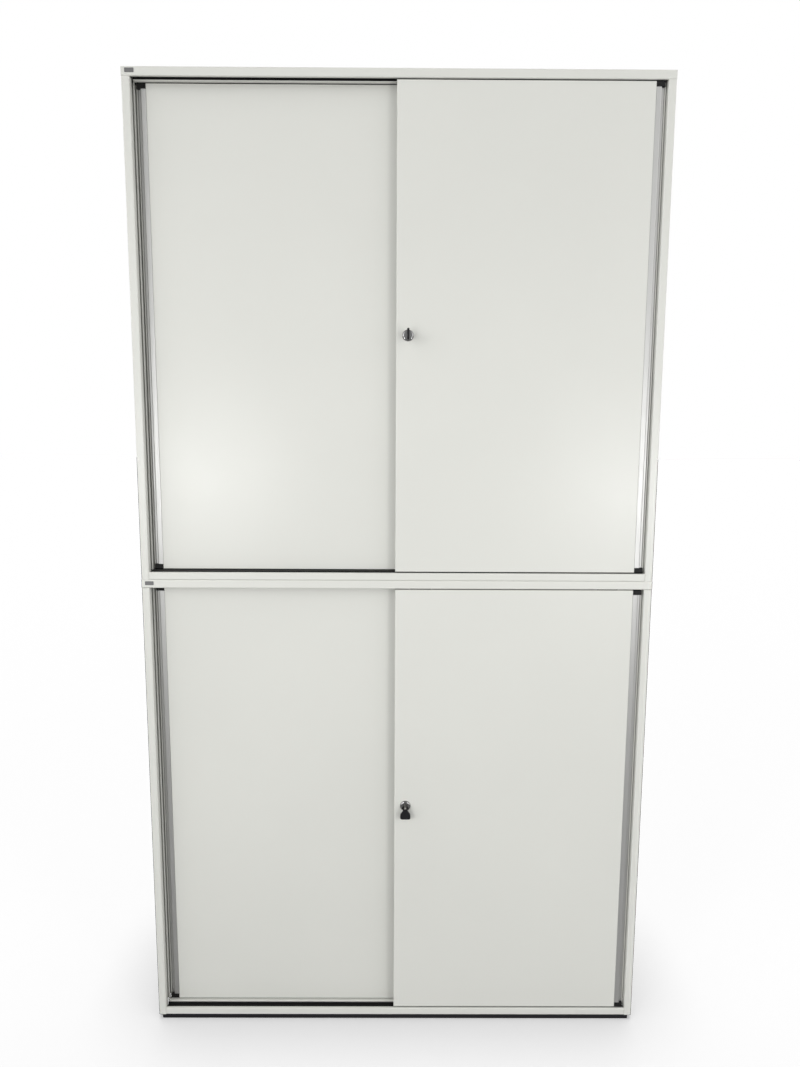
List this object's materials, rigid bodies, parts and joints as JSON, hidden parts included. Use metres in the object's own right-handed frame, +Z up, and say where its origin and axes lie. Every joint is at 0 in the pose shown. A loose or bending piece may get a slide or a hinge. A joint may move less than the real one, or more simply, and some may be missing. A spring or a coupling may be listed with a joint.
{
  "type": "sliding door cabinet",
  "caption": "Tall stacked steel cabinet with overlapping sliding doors, aluminium edge grips, key locks, inner shelves and a low black base.",
  "frame": {"origin": "on the floor, below the middle of the overall box with the keys in the locks", "axes": "+X to the right seen from the front, +Y to the back (the doors face -Y), +Z up"},
  "size_m": [1.2, 0.4696, 2.262],
  "materials": {
    "body_paint": "satin light grey powder coat",
    "door_paint": "satin light grey powder coat",
    "grip_aluminium": "satin anodised",
    "black_plastic": "matte moulded",
    "zinc_steel": "zinc plated",
    "nylon": "black nylon",
    "lock_chrome": "polished",
    "key_steel": "nickel plated",
    "key_plastic": "black, softly glossy",
    "badge_metal": "brushed, blank",
    "base_paint": "black powder coat"
  },
  "bodies": {
    "carcass": {"lower_left_side": "body_paint", "lower_right_side": "body_paint", "lower_top_panel": "body_paint", "lower_bottom_panel": "body_paint", "lower_back_panel": "body_paint", "lower_track_dividers": "body_paint", "lower_track_liners": "black_plastic", "lower_bottom_shelf": "body_paint", "lower_top_shelf": "body_paint", "upper_left_side": "body_paint", "upper_right_side": "body_paint", "upper_top_panel": "body_paint", "upper_bottom_panel": "body_paint", "upper_back_panel": "body_paint", "upper_track_dividers": "body_paint", "upper_track_liners": "black_plastic", "upper_bottom_shelf": "body_paint", "upper_top_shelf": "body_paint", "door_jambs": "body_paint", "shelf_uprights": "body_paint", "shelf_clips": "zinc_steel", "nameplates": "badge_metal", "front_base_rail": "base_paint", "rear_base_rail": "base_paint", "levelling_feet": "black_plastic", "stacking_bolts": "zinc_steel"},
    "lower_left_door": {"lower_left_door_panel": "door_paint", "lower_left_door_grip": "grip_aluminium", "lower_left_door_guides": "black_plastic", "lower_left_door_roller_brackets": "zinc_steel"},
    "lower_left_door_roller_a": {"lower_left_door_roller_a": "nylon"},
    "lower_left_door_roller_b": {"lower_left_door_roller_b": "nylon"},
    "lower_right_door": {"lower_right_door_panel": "door_paint", "lower_right_door_grip": "grip_aluminium", "lower_right_door_guides": "black_plastic", "lower_right_door_roller_brackets": "zinc_steel", "lower_lock_body": "lock_chrome"},
    "lower_right_door_roller_a": {"lower_right_door_roller_a": "nylon"},
    "lower_right_door_roller_b": {"lower_right_door_roller_b": "nylon"},
    "lower_lock_plug": {"lower_lock_plug": "lock_chrome", "lower_lock_cam": "zinc_steel", "lower_key_blade": "key_steel"},
    "lower_key_bow": {"lower_key_bow": "key_plastic"},
    "upper_left_door": {"upper_left_door_panel": "door_paint", "upper_left_door_grip": "grip_aluminium", "upper_left_door_guides": "black_plastic", "upper_left_door_roller_brackets": "zinc_steel"},
    "upper_left_door_roller_a": {"upper_left_door_roller_a": "nylon"},
    "upper_left_door_roller_b": {"upper_left_door_roller_b": "nylon"},
    "upper_right_door": {"upper_right_door_panel": "door_paint", "upper_right_door_grip": "grip_aluminium", "upper_right_door_guides": "black_plastic", "upper_right_door_roller_brackets": "zinc_steel", "upper_lock_body": "lock_chrome"},
    "upper_right_door_roller_a": {"upper_right_door_roller_a": "nylon"},
    "upper_right_door_roller_b": {"upper_right_door_roller_b": "nylon"},
    "upper_lock_plug": {"upper_lock_plug": "lock_chrome", "upper_lock_cam": "zinc_steel", "upper_key_blade": "key_steel"},
    "upper_key_bow": {"upper_key_bow": "key_plastic"}
  },
  "joints": [
    {"name": "lower_left_door_slide", "type": "slide", "parent": "carcass", "child": "lower_left_door", "axis": [1, 0, 0], "range_m": [0, 0.53]},
    {"name": "lower_left_door_roller_a_spin", "type": "hinge", "parent": "lower_left_door", "child": "lower_left_door_roller_a", "pos_m": [-0.4872, -0.15215, 0.038], "axis": [0, 1, 0], "continuous": true},
    {"name": "lower_left_door_roller_b_spin", "type": "hinge", "parent": "lower_left_door", "child": "lower_left_door_roller_b", "pos_m": [-0.024, -0.15215, 0.038], "axis": [0, 1, 0], "continuous": true},
    {"name": "lower_right_door_slide", "type": "slide", "parent": "carcass", "child": "lower_right_door", "axis": [1, 0, 0], "range_m": [-0.572, 0]},
    {"name": "lower_right_door_roller_a_spin", "type": "hinge", "parent": "lower_right_door", "child": "lower_right_door_roller_a", "pos_m": [0.065, -0.18165, 0.038], "axis": [0, 1, 0], "continuous": true},
    {"name": "lower_right_door_roller_b_spin", "type": "hinge", "parent": "lower_right_door", "child": "lower_right_door_roller_b", "pos_m": [0.4872, -0.18165, 0.038], "axis": [0, 1, 0], "continuous": true},
    {"name": "lower_lock_turn", "type": "hinge", "parent": "lower_right_door", "child": "lower_lock_plug", "pos_m": [0.022, -0.19525, 0.5745], "axis": [0, 1, 0], "range_deg": [0, 90]},
    {"name": "lower_key_fold", "type": "hinge", "parent": "lower_lock_plug", "child": "lower_key_bow", "pos_m": [0.022, -0.20725, 0.5745], "axis": [-1, 0, 0], "range_deg": [0, 180]},
    {"name": "upper_left_door_slide", "type": "slide", "parent": "carcass", "child": "upper_left_door", "axis": [1, 0, 0], "range_m": [0, 0.53]},
    {"name": "upper_left_door_roller_a_spin", "type": "hinge", "parent": "upper_left_door", "child": "upper_left_door_roller_a", "pos_m": [-0.4872, -0.15215, 1.163], "axis": [0, 1, 0], "continuous": true},
    {"name": "upper_left_door_roller_b_spin", "type": "hinge", "parent": "upper_left_door", "child": "upper_left_door_roller_b", "pos_m": [-0.024, -0.15215, 1.163], "axis": [0, 1, 0], "continuous": true},
    {"name": "upper_right_door_slide", "type": "slide", "parent": "carcass", "child": "upper_right_door", "axis": [1, 0, 0], "range_m": [-0.572, 0]},
    {"name": "upper_right_door_roller_a_spin", "type": "hinge", "parent": "upper_right_door", "child": "upper_right_door_roller_a", "pos_m": [0.065, -0.18165, 1.163], "axis": [0, 1, 0], "continuous": true},
    {"name": "upper_right_door_roller_b_spin", "type": "hinge", "parent": "upper_right_door", "child": "upper_right_door_roller_b", "pos_m": [0.4872, -0.18165, 1.163], "axis": [0, 1, 0], "continuous": true},
    {"name": "upper_lock_turn", "type": "hinge", "parent": "upper_right_door", "child": "upper_lock_plug", "pos_m": [0.022, -0.19525, 1.6995], "axis": [0, 1, 0], "range_deg": [0, 90]},
    {"name": "upper_key_fold", "type": "hinge", "parent": "upper_lock_plug", "child": "upper_key_bow", "pos_m": [0.022, -0.20725, 1.6995], "axis": [0, 0, 1], "range_deg": [-90, 90]}
  ],
  "couplings": [
    {"joint": "lower_left_door_roller_a_spin", "follows": "lower_left_door_slide", "rad_per_m": 83.333},
    {"joint": "lower_left_door_roller_b_spin", "follows": "lower_left_door_slide", "rad_per_m": 83.333},
    {"joint": "lower_right_door_roller_a_spin", "follows": "lower_right_door_slide", "rad_per_m": 83.333},
    {"joint": "lower_right_door_roller_b_spin", "follows": "lower_right_door_slide", "rad_per_m": 83.333},
    {"joint": "upper_left_door_roller_a_spin", "follows": "upper_left_door_slide", "rad_per_m": 83.333},
    {"joint": "upper_left_door_roller_b_spin", "follows": "upper_left_door_slide", "rad_per_m": 83.333},
    {"joint": "upper_right_door_roller_a_spin", "follows": "upper_right_door_slide", "rad_per_m": 83.333},
    {"joint": "upper_right_door_roller_b_spin", "follows": "upper_right_door_slide", "rad_per_m": 83.333}
  ]
}
